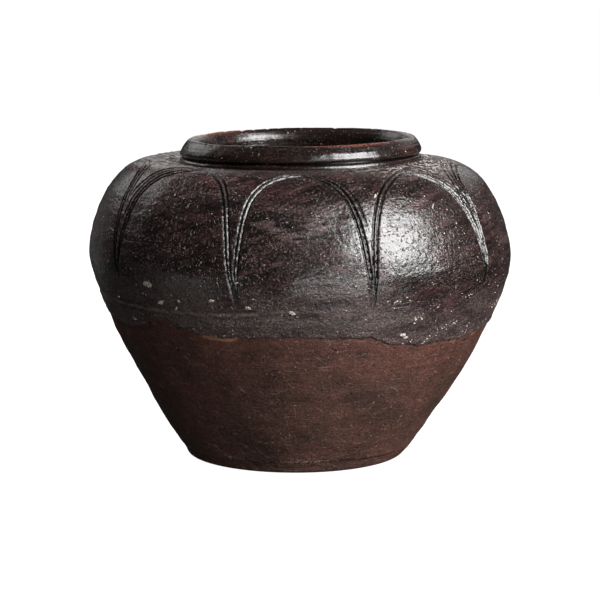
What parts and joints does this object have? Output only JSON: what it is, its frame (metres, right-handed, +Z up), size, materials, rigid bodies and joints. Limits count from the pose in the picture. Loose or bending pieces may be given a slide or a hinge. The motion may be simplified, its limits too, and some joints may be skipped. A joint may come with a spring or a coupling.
{
  "type": "ceramic storage jar",
  "caption": "Wide-bellied dark clay storage jar with a rolled rim, incised arches on a glossy glazed shoulder and a bare red-brown lower wall.",
  "frame": {"origin": "centre of the jar's flat underside", "axes": "+Z up along the jar's axis, -Y towards the side that the incised arches were measured from, +X to that side's right"},
  "size_m": [0.4, 0.4, 0.302],
  "materials": {
    "body_clay": "matte",
    "rim_clay": "matte",
    "dark_glaze": "gloss",
    "liner_glaze": "gloss"
  },
  "bodies": {
    "root": {"base_disc": "body_clay", "foot_wall": "body_clay", "lower_wall": "body_clay", "belly_wall": "body_clay", "shoulder_wall": "body_clay", "neck_collar": "rim_clay", "rim_roll": "rim_clay", "body_glaze": "dark_glaze", "rim_glaze": "dark_glaze", "inner_glaze": "liner_glaze"}
  },
  "joints": []
}
